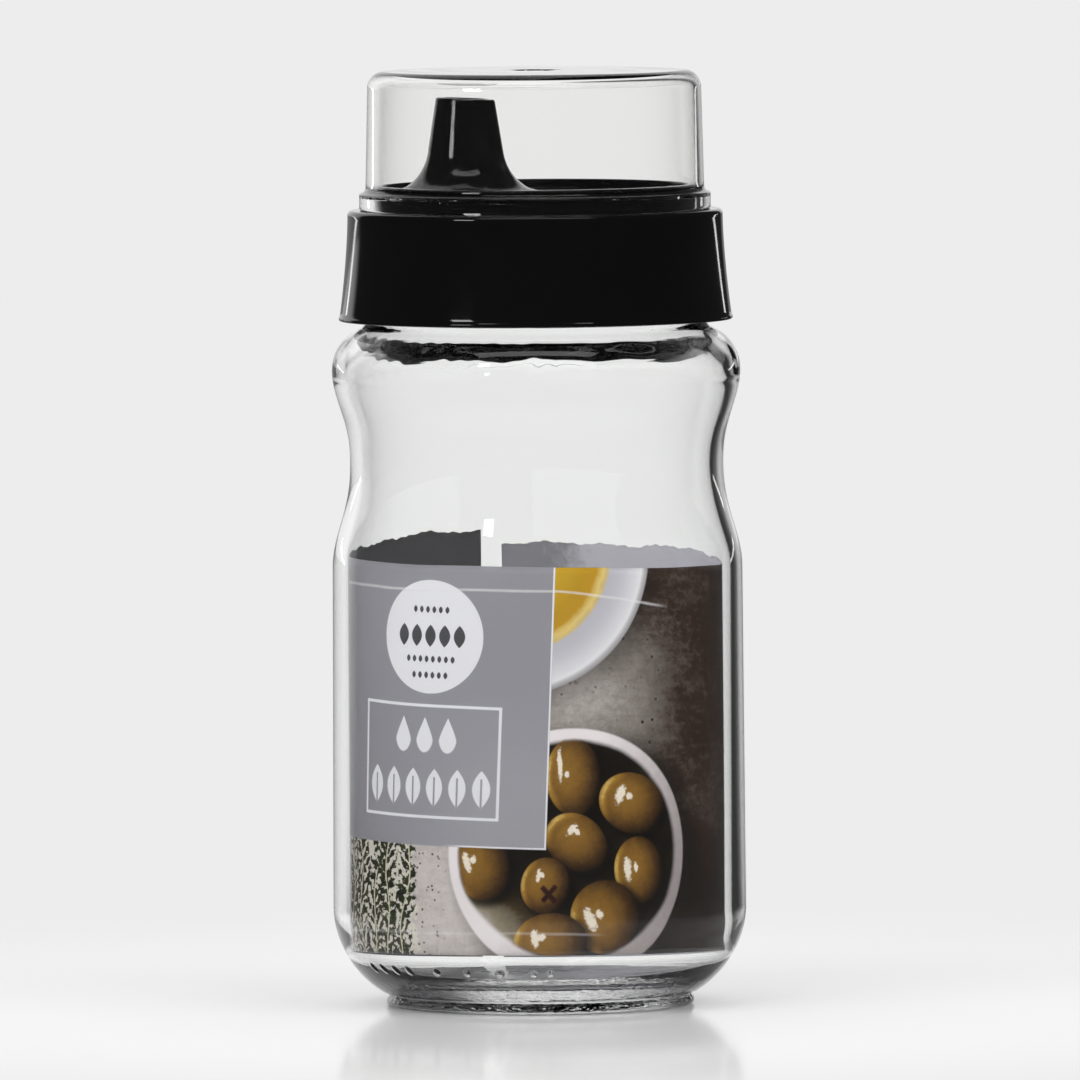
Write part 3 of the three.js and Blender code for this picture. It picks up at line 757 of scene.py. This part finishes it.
pourer = {
    "columns": 224, "flangeInset": 0.3, "plugDepth": 4.5, "plugWall": 1.4, "plugClearance": 0.5,
    "seatInset": 2.1, "seatWall": 1.6, "seatRise": 5.1, "bead": 0.12, "deck": 1.5, "recess": 2.1,
    "spoutOffset": 14.3, "tipRadius": 6.1, "spoutTall": 20.1, "taper": 0.158, "flare": 10.5, "spoutWall": 1.5,
    "tipSlope": 0.05, "rimRound": 0.55, "edgeRound": 0.3, "tipRound": 0.35, "deckRound": 0.4,
}

def spoutLine(inset, level, foot, deckTop, count):
    # cone from a level down to a fillet of constant radius that runs out flat at the deck
    g = pourer
    tilt = math.atan(g["taper"])
    centreZ = deckTop + g["flare"]
    joinZ = centreZ - g["flare"] * math.sin(tilt)
    joinR = g["tipRadius"] + g["taper"] * (deckTop + g["spoutTall"] - joinZ)
    centreR = joinR + g["flare"] * math.cos(tilt)
    reach = g["flare"] + inset
    end = math.degrees(math.asin(min(1, (centreZ - foot) / reach)))
    line = arcLine(centreR, centreZ, reach, 180 + math.degrees(tilt), 180 + end, count)
    return np.vstack([[[line[0, 0] - g["taper"] * (level - line[0, 1]), level]], line])

def pourerPiece():
    g = pourer
    neck = glass["neck"]
    seat = neck - g["seatInset"]
    seatIn = seat - g["seatWall"]
    flange = neck - g["flangeInset"]
    flangeTop = sealTop + 1.2
    seatTop = collarTop + g["seatRise"]
    deckTop = seatTop - g["recess"]
    deckUnder = deckTop - g["deck"]
    tip = deckTop + g["spoutTall"]
    plugOut = neck - glass["neckWall"] - g["plugClearance"]
    plugIn = plugOut - g["plugWall"]
    plugFoot = sealTop - g["plugDepth"]
    bead = collarTop + 2
    rimRound, edge, tipRound, deckRound = g["rimRound"], g["edgeRound"], g["tipRound"], g["deckRound"]
    side = [[seat, flangeTop], [seat, bead - 0.6], [seat + g["bead"], bead], [seat, bead + 0.6],
            [seat, seatTop - rimRound]]
    shell = outline(
        ([[flange, sealTop], [flange, flangeTop]], 0.4),
        ([[flange, flangeTop], [seat, flangeTop]], 0.6),
        (side, 0.3),
        (arcLine(seat - rimRound, seatTop - rimRound, rimRound, 0, 90, 7), 0.15),
        (arcLine(seatIn + edge, seatTop - edge, edge, 90, 180, 5), 0.12),
        ([[seatIn, seatTop - edge], [seatIn, deckTop + deckRound]], 0.4),
        (arcLine(seatIn - deckRound, deckTop + deckRound, deckRound, 0, -90, 5), 0.15),
    )
    outer = spoutLine(0, tip - tipRound, deckTop, deckTop, 26)[::-1]
    tipEdge = arcLine(g["tipRadius"] - tipRound, tip - tipRound, tipRound, 8, 90, 5)
    mouth = arcLine(g["tipRadius"] - g["spoutWall"] + edge, tip - edge, edge, 90, 180, 5)
    inner = spoutLine(g["spoutWall"], tip - edge, deckUnder, deckTop, 26)
    under = outline(
        ([[seatIn - 0.05, deckUnder], [seatIn - 0.05, flangeTop - 0.8]], 0.8),
        ([[plugIn, flangeTop - 0.8], [plugIn, plugFoot + edge]], 0.8),
        ([[plugIn + edge, plugFoot], [plugOut - edge, plugFoot]], 0.4),
        ([[plugOut, plugFoot + edge], [plugOut, sealTop]], 0.6),
        ([[plugOut, sealTop], [flange, sealTop]], 0.6),
    )[:-1]
    spoutRows = np.vstack([outer, tipEdge, mouth, inner])
    # between the ring and the spout's foot the deck is flat, and its rings slide over to the spout's centre
    blend = np.linspace(0, 1, 12)[1:-1, None]
    deckRows = np.hstack([(seatIn - deckRound) * (1 - blend) + outer[0, 0] * blend, 0 * blend + deckTop])
    underRows = np.hstack([inner[-1, 0] * (1 - blend) + (seatIn - 0.6) * blend, 0 * blend + deckUnder])
    profile = np.vstack([shell, deckRows, spoutRows, underRows, under])
    over = blend[:, 0]
    slide = [np.zeros(len(shell)), over, np.ones(len(spoutRows)), 1 - over, np.zeros(len(under))]
    slide = np.concatenate(slide)
    points = around(profile, g["columns"])[0]
    points[..., 0] -= (g["spoutOffset"] * slide)[:, None]
    high = np.clip((profile[:, 1:] - tip + 3.0) / 3.0, 0, 1) * (slide[:, None] > 0.99)
    points[..., 2] -= high * g["tipSlope"] * (points[..., 0] + g["spoutOffset"])
    piece = surfaceMesh("pourInsert", points, wrapRows=True)
    piece.data.set_sharp_from_angle(angle=math.radians(40))
    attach(piece, "pourer")
    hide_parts("pour_insert")
    return piece

# seal

sealRing = {"columns": 192, "inset": 0.3, "round": 0.2}

def sealPiece():
    g = sealRing
    inner, outer = glass["neck"] - glass["neckWall"] + g["inset"], glass["neck"] - g["inset"]
    corner = g["round"]
    low, high = rimLevel + corner, sealTop - corner
    corners = ((outer - corner, low), (outer - corner, high), (inner + corner, high), (inner + corner, low))
    ring = np.vstack([arcLine(r, z, corner, 90 * i - 90, 90 * i, 4) for i, (r, z) in enumerate(corners)])
    points = around(ring, g["columns"])[0]
    piece = surfaceMesh("sealRing", points, wrapRows=True)
    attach(piece, "pourer")
    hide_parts("seal_ring")
    return piece

# screw collar

collar = {
    "columns": 256, "wall": 1.5, "flare": 1.7, "ease": 1.6, "lip": 0.25, "lipHeight": 1.1, "lipWall": 1.3,
    "lipRound": 0.35, "topRound": 1.0, "topThickness": 1.8, "clearance": 0.5, "mouth": 2.4,
    "openingGap": 0.3, "openingRound": 0.2,
}

def collarPiece():
    g = collar
    bore = glass["neck"] + thread["depth"] + g["clearance"]
    topR = bore + g["wall"]
    opening = glass["neck"] - pourer["seatInset"] + g["openingGap"]
    roundZ = collarTop - g["topRound"]
    skirtZ = collarFoot + g["lipHeight"]
    lip = topR + g["flare"] + g["lip"]
    t = np.linspace(0, 1, 40)
    skirt = np.stack([topR + g["flare"] * (1 - t) ** g["ease"], skirtZ + (roundZ - skirtZ) * t], axis=1)
    flangeTop = collarTop - g["topThickness"]
    mouthR = topR + g["flare"] - g["lipWall"]
    lipRound, topRound, edge = g["lipRound"], g["topRound"], g["openingRound"]
    profile = outline(
        (arcLine(lip - lipRound, collarFoot + lipRound, lipRound, -90, 0, 6), 0.12),
        ([[lip, collarFoot + lipRound], [lip, skirtZ - 0.45]], 0.2),
        ([[lip, skirtZ - 0.45], skirt[0]], 0.2),
        (skirt, 0.6),
        (arcLine(topR - topRound, roundZ, topRound, 0, 90, 16), 0.2),
        ([[topR - topRound, collarTop], [opening + edge, collarTop]], 0.8),
        (arcLine(opening + edge, collarTop - edge, edge, 90, 180, 4), 0.1),
        ([[opening, collarTop - edge], [opening, flangeTop]], 0.5),
        ([[opening, flangeTop], [bore, flangeTop]], 0.8),
        ([[bore, flangeTop], [bore, collarFoot + g["mouth"]]], 0.34),
        ([[bore, collarFoot + g["mouth"]], [mouthR, collarFoot + 0.4], [mouthR + 0.2, collarFoot]], 0.4),
        ([[mouthR + 0.2, collarFoot], [lip - lipRound, collarFoot]], 0.4),
    )[:-1]
    points, turn = around(profile, g["columns"])
    r, z = profile[:, :1], profile[:, 1:]
    onBore = (np.abs(r - bore) < 0.02) & (z < flangeTop - 0.3)
    # the female thread stands in the gap of the neck's, half a pitch away
    rise = threadRise(turn, z, threadFoot - thread["pitch"] / 2, thread)
    spread(points, np.where(onBore, -thread["depth"] * rise, 0), r)
    piece = surfaceMesh("screwCollar", points, wrapRows=True)
    piece.data.set_sharp_from_angle(angle=math.radians(50))
    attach(piece, "collar")
    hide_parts("screw_collar")
    return piece

def blackMaterial():
    made, p = material("glossBlack")
    where = p.spot()
    smear = p.noise(where, 40.0, 4.0, 0.6)
    fine = p.noise(where, 900.0, 2.0)
    p.principled({
        "Base Color": p.mix(smear, (0.0018, 0.0018, 0.002, 1), (0.0034, 0.0034, 0.0034, 1)),
        "Roughness": 0.045 + p.smooth(smear, 0.45, 0.75) * 0.05,
        "Normal": p.bump(fine, 0.000004, 0.3),
    })
    return made

# dust cap

cap = {
    "columns": 256, "wall": 1.5, "top": 1.6, "draft": 0.5, "round": 3.5, "roundInner": 2.0, "clearance": 0.4,
    "flange": 1.35, "flangeHeight": 3.5, "flangeRound": 1.3, "footRound": 0.4, "boreRound": 0.3,
    "gate": 4.4, "gateDepth": 0.3, "nub": 0.06, "topWave": 0.05,
}

def capPiece():
    g = cap
    foot, top = nodeFoot("dust_cap"), nodeTop("dust_cap")
    innerTop = top - g["top"]
    bore = glass["neck"] - pourer["seatInset"] + g["clearance"]
    wallOut = bore + g["wall"]
    topOut = wallOut - g["draft"]
    flange = wallOut + g["flange"]
    flangeZ = foot + g["flangeHeight"]
    bend = flangeZ + g["flangeRound"]
    innerR = topOut - g["wall"]
    edge, footRound = g["boreRound"], g["footRound"]
    # the mark that moulding leaves in the middle of the top
    gate, gateFloor, nubTop = g["gate"], top - g["gateDepth"], top - g["nub"]
    t = np.linspace(0.03, 1, 10)
    inTop = np.stack([(innerR - g["roundInner"]) * t, innerTop + 0 * t], axis=1)
    profile = outline(
        (inTop, 3.0),
        (arcLine(innerR - g["roundInner"], innerTop - g["roundInner"], g["roundInner"], 90, 0, 14), 0.25),
        ([[innerR, innerTop - g["roundInner"]], [bore, bend]], 1.2),
        ([[bore, bend], [bore, foot + edge]], 0.8),
        (arcLine(bore + edge, foot + edge, edge, 180, 270, 5), 0.12),
        ([[bore + edge, foot], [flange - footRound, foot]], 0.5),
        (arcLine(flange - footRound, foot + footRound, footRound, -90, 0, 5), 0.15),
        ([[flange, foot + footRound], [flange, flangeZ - 0.3]], 0.6),
        (arcLine(flange - 0.35, flangeZ - 0.35, 0.35, 0, 60, 5), 0.12),
        (arcLine(wallOut + g["flangeRound"], bend, g["flangeRound"], 262, 180, 10), 0.2),
        ([[wallOut, bend], [topOut, top - g["round"]]], 1.0),
        (arcLine(topOut - g["round"], top - g["round"], g["round"], 0, 90, 24), 0.28),
        ([[topOut - g["round"], top], [gate, top]], 2.0),
        ([[gate, top], [gate - 0.25, gateFloor]], 0.12),
        ([[gate - 0.25, gateFloor], [1.4, gateFloor]], 0.5),
        ([[1.4, gateFloor], [1.0, top - 0.1], [0.3, nubTop]], 0.3),
    )
    points, turn = around(profile, g["columns"])
    r = profile[:, :1]
    points[..., 2] += np.where(r < innerR - 2.2, g["topWave"] * ripple(turn, r, 11, longest=30.0), 0)
    piece = surfaceMesh("dustCap", points, poles=((0, 0, innerTop), (0, 0, nubTop)))
    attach(piece, "cap")
    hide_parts("dust_cap")
    return piece

def clearPlasticMaterial():
    made, p = material("clearPlastic")
    haze = p.noise(p.spot(), 90.0, 3.0)
    p.principled({
        "Base Color": (0.985, 0.985, 0.98, 1), "Transmission Weight": 1.0, "IOR": 1.49,
        "Roughness": p.smooth(haze, 0.45, 0.8) * 0.02,
    })
    return made

def sealMaterial():
    made, p = material("softSeal")
    foam = p.noise(p.spot(), 1500.0, 3.0)
    p.principled({
        "Base Color": p.mix(foam, rgb(208, 206, 198), rgb(232, 230, 224)), "Roughness": 0.65,
        "Normal": p.bump(foam, 0.00005, 0.5),
    })
    return made

black = blackMaterial()
making = [
    (glassPiece, [glassMaterial()]), (cardPiece, [printedMaterial(), cardBackMaterial()]),
    (pourerPiece, [black]), (collarPiece, [black]),
    (sealPiece, [sealMaterial()]), (capPiece, [clearPlasticMaterial()]),
]
for make, finishes in making:
    piece = make()
    for finish in finishes:
        piece.data.materials.append(finish)
    print(piece.name, len(piece.data.polygons), "faces")

# studio

studio = {
    "pale": 0.845, "dark": 0.03,
    "throughGlass": 0.95,  # the backdrop behind clear pieces, which lose some of it
    "inGlass": 0.04, "backdropEdge": (0.80, 0.94), "mirrorEdge": (0.86, 0.93), "backdropTurn": 0.22,
    "openFill": 0.66, "shieldedFill": 1.85,  # soft light on open surfaces, and on those behind glass
    "mirroredFloor": 0.30,  # how bright the far floor looks in a gloss
    "floorHalf": 30.0, "floorNear": 0.10, "floorReach": 0.28,
    "floorColour": 0.88, "floorGloss": 0.48, "floorBlur": 0.10,
    # all lamps: place, width and height in metres, watts, turn in degrees
    "softLamps": {
        "key": ((-1.0, -1.3, 1.7), 1.6, 1.6, 18.0, 0),
        "fill": ((1.2, -1.1, 1.5), 1.6, 1.6, 12.0, 0),
    },
    "glints": {
        "edgeLeft": ((-0.878, 1.26, 0.142), 0.36, 0.03, 0.10, -16.5),
        "edgeRight": ((0.878, 1.26, 0.142), 0.36, 0.03, 0.10, 16.5),
    },
    # lamps that light one group of pieces only
    "linked": {
        "lid": (("pourInsert", "dustCap", "screwCollar"), ((-1.42, -1.41, 0.80), 0.45, 0.45, 5.0, 0)),
        "glass": (("bottleGlass",), ((-0.90, -1.44, 1.15), 0.20, 0.28, 1.6, 0)),
        "floor": (("floor",), ((0.0, 0.2, 2.2), 2.0, 2.0, 8.0, 0)),
        "above": (("bottleGlass", "dustCap", "screwCollar"), ((0.0, -0.9, 2.0), 2.0, 0.5, 6.0, 0)),
    },
}

def areaLamp(name, place, wide, tall, power, spin):
    lamp = bpy.data.lights.new(name, "AREA")
    lamp.shape = "RECTANGLE"
    lamp.size, lamp.size_y = wide, tall
    lamp.energy = power
    obj = bpy.data.objects.new(name, lamp)
    scene.collection.objects.link(obj)
    obj.location = place
    facing = (Vector((0, 0, 0.12)) - Vector(place)).to_track_quat("-Z", "Y").to_matrix()
    obj.rotation_euler = (facing @ Matrix.Rotation(math.radians(spin), 3, "Z")).to_euler()
    obj.visible_transmission = False
    return obj

def studioLights():
    for name, settings in studio["softLamps"].items():
        areaLamp(name, *settings).visible_glossy = False
    for name, settings in studio["glints"].items():
        areaLamp(name, *settings)
    for name, (pieces, settings) in studio["linked"].items():
        group = bpy.data.collections.new(name)
        for piece in pieces:
            group.objects.link(bpy.data.objects[piece])
        lamp = areaLamp(name, *settings)
        lamp.visible_transmission = True
        lamp.light_linking.receiver_collection = group

def surroundings(p, x, y, mirroredPale):
    # pale seen directly or straight through glass; a gloss mirrors it only from the back of the set
    s = studio
    path = p.node("LightPath")
    passed = lambda name: p.math("GREATER_THAN", Num(p, path.outputs[name]), 0.5)
    glossy, through, scattered = passed("Glossy Depth"), passed("Transmission Depth"), passed("Diffuse Depth")
    backward = (y - x * s["backdropTurn"]) / p.length(x, y)
    inside = s["inGlass"] + (s["throughGlass"] - s["inGlass"]) * p.smooth(backward, *s["backdropEdge"])
    mirrored = s["dark"] + (mirroredPale - s["dark"]) * p.smooth(backward, *s["mirrorEdge"])
    mirrored = through * inside + (1 - through) * mirrored
    seen = glossy * mirrored + (1 - glossy) * (through * s["throughGlass"] + (1 - through) * s["pale"])
    soft = s["openFill"] + (s["shieldedFill"] - s["openFill"]) * Num(p, path.outputs["Is Transmission Ray"])
    return seen * (1 - scattered) + soft * scattered

def backdrop():
    world = bpy.data.worlds.new("backdrop")
    scene.world = world
    p = Paint(world)
    x, y = p.parts(p.node("TexCoord").outputs["Generated"])[:2]
    strength = surroundings(p, x, y, studio["pale"])
    shade = p.node("Background", None, {"Color": (1, 1, 1, 1), "Strength": strength})
    p.node("OutputWorld", None, {"Surface": shade.outputs[0]})

def floorPiece():
    # a matt and glossy surface near the bottle, which runs out into the backdrop's brightness
    s = studio
    mesh = bpy.data.meshes.new("floor")
    half = s["floorHalf"]
    corners = [(-half, -half, 0), (half, -half, 0), (half, half, 0), (-half, half, 0)]
    mesh.from_pydata(corners, [], [(0, 1, 2, 3)])
    floor = bpy.data.objects.new("floor", mesh)
    scene.collection.objects.link(floor)
    made, p = material("paleFloor")
    x, y = p.parts(p.spot())[:2]
    near = p.smooth(p.length(x, y), s["floorReach"], s["floorNear"])
    matt = p.node("BsdfDiffuse", None, {"Color": (s["floorColour"],) * 3 + (1,)})
    gloss = p.node("BsdfGlossy", None, {"Color": (1, 1, 1, 1), "Roughness": s["floorBlur"]})
    lit = p.node("MixShader", None, {0: s["floorGloss"], 1: matt.outputs[0], 2: gloss.outputs[0]})
    strength = surroundings(p, x, y, s["mirroredFloor"])
    plain = p.node("Emission", None, {"Color": (1, 1, 1, 1), "Strength": strength})
    both = p.node("MixShader", None, {0: near, 1: plain.outputs[0], 2: lit.outputs[0]})
    p.node("OutputMaterial", None, {"Surface": both.outputs[0]})
    mesh.materials.append(made)

floorPiece()
studioLights()
backdrop()
scene.view_settings.view_transform = "Standard"
print("studio")
